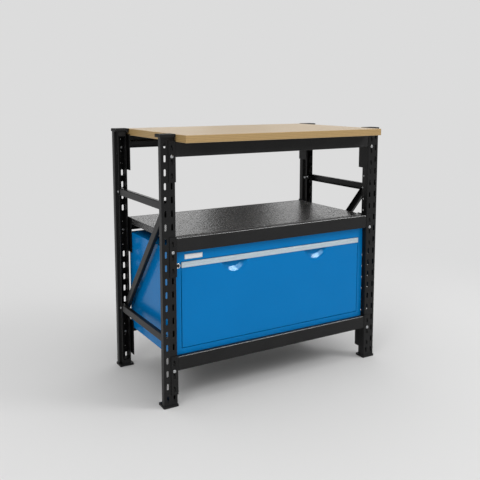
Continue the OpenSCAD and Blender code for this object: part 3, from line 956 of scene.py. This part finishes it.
def diagonal_brace(node, side, upper, lower):
    """Runs from the front post's upper bolt down to the rear post's lower one."""
    low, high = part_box(node)
    inner = low.x if side > 0 else high.x
    upper_low, upper_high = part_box(upper)
    lower_low, lower_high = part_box(lower)
    start = Vector((0, upper_low.y + BRACE_HOLE_INSET, (upper_low.z + upper_high.z) / 2))
    stop = Vector((0, lower_high.y - BRACE_HOLE_INSET, (lower_low.z + lower_high.z) / 2))
    along = (stop - start).normalized()
    across = Vector((0, -along.z, along.y))
    middle = (start + stop) / 2 + Vector((inner, 0, 0))
    place = lambda a, b, w: middle + Vector((side * a, 0, 0)) + across * b + along * w
    make_brace(node, (stop - start).length + 2 * BRACE_HOLE_INSET, place)


for side_name, side in SIDES.items():
    upper = "brace_upper_" + side_name
    lower = "brace_lower_" + side_name
    level_brace(upper, side)
    level_brace(lower, side)
    diagonal_brace("brace_diagonal_" + side_name, side, upper, lower)


def make_brace_bolts():
    """A long bolt through both throat walls of a post at each end of each level brace."""
    parts = []
    wall = THROAT_WIDTH / 2 + POST_SHEET
    y = -THROAT_HOLE_DEPTH
    for side_name, side in SIDES.items():
        for level in ("upper", "lower"):
            low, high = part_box("brace_" + level + "_" + side_name)
            z = (low.z + high.z) / 2
            for end_name, end in ENDS.items():
                place = post_place("post_" + end_name + "_" + side_name, side, end)
                head = lambda a, b, w: place(wall + w, y + a, z + b)
                nut = lambda a, b, w: place(-wall - w, y + a, z + b)
                parts += bolt_and_nut(0.005, 0.004, wall + BRACE_SHANK_PAST_POST, head, nut)
    piece(
        "brace_bolts_and_nuts", joined(parts), [ZINC],
        "bench", ["brace_bolts"], edge=0
    )


make_brace_bolts()


# ---- Worktop and shelf ----


def make_worktop():
    """The board, with one finish on its faces and one on its edges."""
    low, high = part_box("worktop")
    outline = rounded_box_outline((low.x, low.y), (high.x, high.y), BOARD_CORNER)
    place = lambda a, b, w: Vector((a, b, w))
    board = piece(
        "worktop_board", prism(outline, low.z, high.z, place),
        [board_face(), board_edge(low.z, high.z)],
        "bench", ["worktop"], edge=0.0011, segments=3
    )
    for face in board.data.polygons:
        face.material_index = 0 if abs(face.normal.z) > 0.5 else 1


def make_shelf():
    """A sheet folded down and under at the front and rear, and down at its two ends."""
    low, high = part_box("shelf_panel")
    t = SHELF_SHEET / 2
    path = [
        (low.y + SHELF_FOLD, low.z + t), (low.y + t, low.z + t), (low.y + t, high.z - t),
        (high.y - t, high.z - t), (high.y - t, low.z + t), (high.y - SHELF_FOLD, low.z + t)
    ]
    place = lambda a, b, w: Vector((w, a, b))
    parts = [folded(path, SHELF_SHEET, SHELF_BEND, (low.x, high.x), place)]
    for a, b in ((low.x, low.x + SHELF_SHEET), (high.x - SHELF_SHEET, high.x)):
        flap = rounded_box_outline(
            (low.y + FLAP_INSET, low.z), (high.y - FLAP_INSET, high.z - SHELF_SHEET),
            FLAP_CORNER, 2
        )
        parts.append(prism(flap, a, b, place))
    piece("shelf_tray", joined(parts), [GREY], "bench", ["shelf_panel"])


make_worktop()
make_shelf()


# ---- Drawer front, pull and label ----


def cup_profile():
    """(distance from the cup's middle, depth) from the floor's centre out to the flat face."""
    corners = [
        (0, CUP_DEPTH), (CUP_FLOOR_RADIUS, CUP_DEPTH), (CUP_RADIUS, 0),
        (CUP_RADIUS + CUP_FLAT_RING, 0)
    ]
    return round_path(corners, CUP_BEND, 8)


def drawer_face(shape, low, high):
    """The pressed face, as a surface: flat panels round two half-round cups."""
    index = {}

    def vertex(x, z, depth=0.0):
        key = (round(x, 6), round(z, 6), round(depth, 6))
        if key not in index:
            index[key] = shape.verts.new((x, low.y + depth, z))
        return index[key]

    def face(points):
        loop = []
        for p in points:
            v = vertex(*p)
            if v not in loop:
                loop.append(v)
        if len(loop) > 2:
            shape.faces.new(loop)

    profile = cup_profile()
    outer = profile[-1].x
    centre_z = high.z - CUP_CENTRE_DROP
    steps = 40
    angles = [math.pi + k / steps * math.pi for k in range(steps + 1)]
    cell_x = outer + CUP_CELL_MARGIN
    cell_z = centre_z - outer - CUP_CELL_MARGIN
    for centre_x in (-CUP_X, CUP_X):
        def ring(p, angle):
            return (centre_x + p.x * math.cos(angle), centre_z + p.x * math.sin(angle), p.y)

        for p, q in zip(profile, profile[1:]):
            for a, b in zip(angles, angles[1:]):
                face([ring(p, a), ring(p, b), ring(q, b), ring(q, a)])
            for s in (-1, 1):
                x0 = centre_x + s * p.x
                x1 = centre_x + s * q.x
                face([
                    (x0, centre_z, p.y), (x1, centre_z, q.y), (x1, high.z, q.y), (x0, high.z, p.y)
                ])
        border = [ring(profile[-1], a) for a in angles]
        left = centre_x - cell_x
        right = centre_x + cell_x
        face(
            [(centre_x - outer, high.z, 0.0)] + border + [(centre_x + outer, high.z, 0.0)]
            + [(right, high.z), (right, cell_z), (left, cell_z), (left, high.z)]
        )
    xs = [low.x, -CUP_X - cell_x, -CUP_X + cell_x, CUP_X - cell_x, CUP_X + cell_x, high.x]
    for a, b in ((xs[0], xs[1]), (xs[2], xs[3]), (xs[4], xs[5])):
        face([(a, cell_z), (b, cell_z), (b, high.z), (a, high.z)])
    face([(low.x, low.z), (high.x, low.z)] + [(x, cell_z) for x in reversed(xs)])


def make_drawer_front():
    """The pressed face, folded back at its two sides and its bottom, as one sheet."""
    low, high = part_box("drawer_front")
    low = low + Vector((DRAWER_INSET, 0, DRAWER_INSET))
    high = high - Vector((DRAWER_INSET, 0, 0))
    mesh = bpy.data.meshes.new("drawer_front_pressing")
    shape = bmesh.new()
    drawer_face(shape, low, high)
    bmesh.ops.recalc_face_normals(shape, faces=shape.faces)
    if sum((f.normal * f.calc_area() for f in shape.faces), Vector()).y > 0:
        bmesh.ops.reverse_faces(shape, faces=shape.faces)

    def on_rim(edge):
        a, b = (v.co for v in edge.verts)
        side = abs(a.x) > high.x - 1e-5 and abs(b.x) > high.x - 1e-5
        return edge.is_boundary and (side or max(a.z, b.z) < low.z + 1e-5)

    rim = [e for e in shape.edges if on_rim(e)]
    pulled = bmesh.ops.extrude_edge_only(shape, edges=rim)["geom"]
    for v in pulled:
        if isinstance(v, bmesh.types.BMVert):
            v.co.y = high.y
    corners = [e for e in shape.edges if not e.is_boundary and e.calc_face_angle(0) > 1.2]
    bmesh.ops.bevel(
        shape, geom=corners, offset=DRAWER_CORNER, segments=4, profile=0.5, affect="EDGES"
    )
    shape.to_mesh(mesh)
    shape.free()
    mesh.shade_smooth()
    mesh.set_sharp_from_angle(angle=math.radians(50))
    mesh.materials.append(BLUE)
    obj = added("drawer_front_pressing", mesh)
    thick = obj.modifiers.new("sheet", "SOLIDIFY")
    thick.thickness = DRAWER_SHEET
    thick.offset = -1
    normals = obj.modifiers.new("even_shading", "WEIGHTED_NORMAL")
    normals.keep_sharp = True
    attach(obj, "drawer")
    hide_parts("drawer_front", "finger_cups")


def make_pull():
    """An extruded strip with eased corners and a shallow groove below its top edge."""
    low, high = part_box("pull_strip")
    place = lambda a, b, w: Vector((w, a, b))
    face = low.y
    groove = face + GROOVE_DEPTH
    outline = [
        (high.y, low.z), (high.y, high.z), (face + 0.0008, high.z),
        (face + 0.0002, high.z - 0.0004), (face, high.z - 0.0010), (face, high.z - 0.0028),
        (groove, high.z - 0.0032), (groove, high.z - 0.0040), (face, high.z - 0.0044),
        (face, low.z + 0.0016), (face + 0.0004, low.z + 0.0005), (face + 0.0012, low.z)
    ]
    piece(
        "pull_strip_profile", prism(outline, low.x, high.x, place), [ALUMINIUM],
        "drawer", ["pull_strip"], edge=0.0002
    )
    cap_low, cap_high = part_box("pull_end_caps")
    block = rounded_box_outline(
        (cap_low.y, cap_low.z), (cap_high.y, cap_high.z), PULL_CAP_CORNER, 3
    )
    caps = []
    for s in (-1, 1):
        a, b = sorted((s * high.x, s * cap_high.x))
        caps.append(prism(block, a, b, place, PULL_CAP_SOFT))
    piece(
        "pull_end_caps_moulded", joined(caps), [ALUMINIUM],
        "drawer", ["pull_end_caps"], edge=0
    )


def make_label():
    """A holder with a raised rim, eased at its front, and a blank card inside the rim."""
    low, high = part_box("name_plate")
    middle = (low + high) / 2
    card_y = high.y - CARD_BACK
    outer = rounded_box_outline((low.x, low.z), (high.x, high.z), LABEL_CORNER, 3)
    inner = rounded_box_outline(
        (low.x + LABEL_RIM, low.z + LABEL_RIM), (high.x - LABEL_RIM, high.z - LABEL_RIM),
        CARD_CORNER, 3
    )
    levels = [
        (outer, high.y, 0.0), (outer, low.y + LABEL_EASE, 0.0), (outer, low.y, LABEL_EASE),
        (inner, low.y, 0.0), (inner, card_y, 0.0)
    ]
    verts = []
    for loop, y, shrink in levels:
        for x, z in loop:
            nearer_x = x - math.copysign(shrink, x - middle.x)
            nearer_z = z - math.copysign(shrink, z - middle.z)
            verts.append(Vector((nearer_x, y, nearer_z)))
    count = len(outer)
    faces = bands(len(levels), count)
    faces.append(list(range(count)))
    faces.append(list(reversed(range(4 * count, 5 * count))))
    piece(
        "label_holder", (verts, faces), [ALUMINIUM],
        "bench", ["name_plate"], edge=0.0002
    )
    place = lambda a, b, w: Vector((a, w, b))
    piece(
        "label_card", prism(inner, card_y - CARD_THICK, card_y, place), [CARD],
        "bench", [], edge=0.0001
    )


make_drawer_front()
make_pull()
make_label()


# ---- Lock ----


def make_lock_housing():
    """A sleeve round the plug, with a domed bezel in front of the cabinet's frame."""
    low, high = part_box("lock_housing")
    plug_low, plug_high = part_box("lock_plug")
    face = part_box("cabinet_front_frame")[0].y
    centre = (low + high) / 2
    place = lambda a, b, w: Vector((centre.x + a, face + w, centre.z + b))
    bezel = (high.x - low.x) / 2
    bore = (plug_high.x - plug_low.x) / 2 + LOCK_PLUG_GAP
    depth = high.y - face
    proud = face - low.y
    profile = [
        (bore, depth), (LOCK_BODY_RADIUS, depth), (LOCK_BODY_RADIUS, 0), (bezel, 0),
        (bezel, -BEZEL_RIM), (bezel - BEZEL_EASE, -2 * BEZEL_RIM), (bezel - BEZEL_SLOPE, -proud),
        (bore + BEZEL_SLOPE, -proud), (bore + BEZEL_EASE, -proud + 0.0005), (bore, -proud + 0.0012)
    ]
    count = 36
    loops = len(profile)
    verts = turned(profile, place, count)
    faces = []
    for face_indices in bands(loops + 1, count):
        faces.append([i % (loops * count) for i in face_indices])
    piece("lock_bezel", (verts, faces), [NICKEL], "bench", ["lock_housing"], edge=0)


make_lock_housing()


# ---- CAD nodes that keep their own mesh: finish, width of the eased edge, nodes ----

KEPT = [
    (BLUE, 0.0005, [
        "cabinet_left_side", "cabinet_right_side", "cabinet_back", "cabinet_top",
        "cabinet_bottom", "cabinet_front_frame", "slide_brackets", "drawer_top_rail",
        "drawer_inner_panel", "drawer_left_side", "drawer_right_side", "drawer_back",
        "drawer_bottom"
    ]),
    (STEEL, 0.0003, [
        "slide_outer_members", "slide_middle_members", "slide_inner_members",
        "slide_outer_cages", "slide_inner_cages"
    ]),
    (ZINC, 0.0002, ["brace_spacers", "worktop_screws"]),
    (GREY, 0.0003, ["shelf_ribs"]),
    (DARK_STEEL, 0.0002, ["lock_plug", "lock_cam"]),
]
for look, edge, nodes in KEPT:
    for node in nodes:
        finish_cad(node, look, edge)


# ---- Stage, light and camera ----

BACKGROUND = 0.716
FLOOR_HALF = 30
FLOOR_TONE = 0.80
FADE_START = 1.2
FADE_END = 2.6
ROOM_FRONT = 0.52
ROOM_REAR = 0.08
ROOM_TOP = 1.15
BENCH_MIDDLE = (0, 0, 0.45)
DRAWER_MIDDLE = (0, -0.2, 0.5)


def grey(level):
    return (level, level, level, 1)


def make_floor():
    """A pale floor round the bench that fades into the background's tone."""
    corners = [(-1, -1), (1, -1), (1, 1), (-1, 1)]
    mesh = bpy.data.meshes.new("floor")
    mesh.from_pydata([(FLOOR_HALF * x, FLOOR_HALF * y, 0) for x, y in corners], [], [(0, 1, 2, 3)])
    added("floor", mesh)
    material = bpy.data.materials.new("pale_floor")
    material.use_nodes = True
    tree = material.node_tree
    join = tree.links.new
    tree.nodes.remove(tree.nodes["Principled BSDF"])
    coords = tree.nodes.new("ShaderNodeTexCoord")
    length = tree.nodes.new("ShaderNodeVectorMath")
    length.operation = "LENGTH"
    join(coords.outputs["Object"], length.inputs[0])
    fade = tree.nodes.new("ShaderNodeMapRange")
    fade.interpolation_type = "SMOOTHSTEP"
    fade.inputs["From Min"].default_value = FADE_START
    fade.inputs["From Max"].default_value = FADE_END
    join(length.outputs["Value"], fade.inputs["Value"])
    near = tree.nodes.new("ShaderNodeBsdfDiffuse")
    near.inputs["Color"].default_value = grey(FLOOR_TONE)
    far = tree.nodes.new("ShaderNodeEmission")
    far.inputs["Color"].default_value = grey(BACKGROUND)
    mix = tree.nodes.new("ShaderNodeMixShader")
    join(fade.outputs["Result"], mix.inputs["Fac"])
    join(near.outputs[0], mix.inputs[1])
    join(far.outputs[0], mix.inputs[2])
    join(mix.outputs[0], tree.nodes["Material Output"].inputs["Surface"])
    mesh.materials.append(material)


def make_world():
    """A pale studio: an even tone behind the bench, and for all else a room that is bright in
    front, darker at the rear and brightest overhead."""
    world = bpy.data.worlds.new("studio")
    world.use_nodes = True
    tree = world.node_tree
    join = tree.links.new
    seen = tree.nodes["Background"]
    seen.inputs["Color"].default_value = grey(BACKGROUND)
    direction = tree.nodes.new("ShaderNodeTexCoord")
    split = tree.nodes.new("ShaderNodeSeparateXYZ")
    join(direction.outputs["Generated"], split.inputs[0])

    def blend(source, low, high, at_low, at_high):
        """A strength that changes softly with one part of the direction."""
        node = tree.nodes.new("ShaderNodeMapRange")
        node.interpolation_type = "SMOOTHSTEP"
        node.inputs["From Min"].default_value = low
        node.inputs["From Max"].default_value = high
        for value, socket in ((at_low, node.inputs["To Min"]), (at_high, node.inputs["To Max"])):
            if hasattr(value, "is_output"):
                join(value, socket)
            else:
                socket.default_value = value
        join(split.outputs[source], node.inputs["Value"])
        return node.outputs["Result"]

    walls = blend("Y", -0.2, 0.4, ROOM_FRONT, ROOM_REAR)
    strength = blend("Z", 0.3, 0.8, walls, ROOM_TOP)
    room = tree.nodes.new("ShaderNodeBackground")
    join(strength, room.inputs["Strength"])
    rays = tree.nodes.new("ShaderNodeLightPath")
    mix = tree.nodes.new("ShaderNodeMixShader")
    join(rays.outputs["Is Camera Ray"], mix.inputs["Fac"])
    join(room.outputs[0], mix.inputs[1])
    join(seen.outputs[0], mix.inputs[2])
    join(mix.outputs[0], tree.nodes["World Output"].inputs["Surface"])
    bpy.context.scene.world = world
    bpy.context.scene.view_settings.view_transform = "Standard"


def area_light(name, place, target, size, power, sheen_on=None):
    """A soft box, size (across, up). With sheen_on it only shows in the gloss of those objects."""
    data = bpy.data.lights.new(name, "AREA")
    data.shape = "RECTANGLE"
    data.size, data.size_y = size
    data.energy = power
    light = added(name, data)
    light.location = place
    light.rotation_euler = (Vector(target) - Vector(place)).to_track_quat("-Z", "Y").to_euler()
    light.visible_camera = False
    if sheen_on:
        light.visible_diffuse = False
        light.light_linking.receiver_collection = sheen_on


def make_camera():
    """The photograph's viewpoint: 31 degrees to the left, from a little above the worktop."""
    data = bpy.data.cameras.new("camera")
    data.lens = 50
    data.sensor_width = 36
    data.shift_y = -0.125
    pitch_down = 7.32
    turn_right = 30.67
    camera = added("camera", data)
    camera.location = (-1.464, -2.372, 1.160)
    camera.rotation_euler = (math.radians(90 - pitch_down), 0, math.radians(-turn_right))
    bpy.context.scene.camera = camera


def shiny_pieces():
    """The enamelled pressing and the beams, whose bends catch the long soft boxes."""
    group = bpy.data.collections.new("shiny_pieces")
    for obj in bpy.context.scene.objects:
        if obj.name.startswith(("drawer_front_pressing", "beam_")):
            group.objects.link(obj)
    return group


SHINY = shiny_pieces()
make_floor()
make_world()
area_light("key", (3.5, -3.0, 4.0), BENCH_MIDDLE, (1.6, 1.6), 62)
area_light("overhead", (0.2, -0.6, 4.5), BENCH_MIDDLE, (1.6, 1.6), 15)
area_light("left_fill", (-3.2, -2.4, 2.6), BENCH_MIDDLE, (1.4, 1.4), 22)
area_light("rear_left_sheen", (0.7, 2.6, 1.3), (-0.3, 0, 0.64), (0.8, 0.8), 2.7)
area_light("rear_right_sheen", (2.35, 2.52, 1.3), (0.3, 0, 0.64), (1.0, 0.8), 3.1)
area_light("right_sheen", (1.92, -2.15, 2.80), DRAWER_MIDDLE, (2.4, 1.2), 400, SHINY)
area_light("front_sheen", (0.40, -2.85, 2.80), DRAWER_MIDDLE, (3.0, 1.3), 230, SHINY)
make_camera()
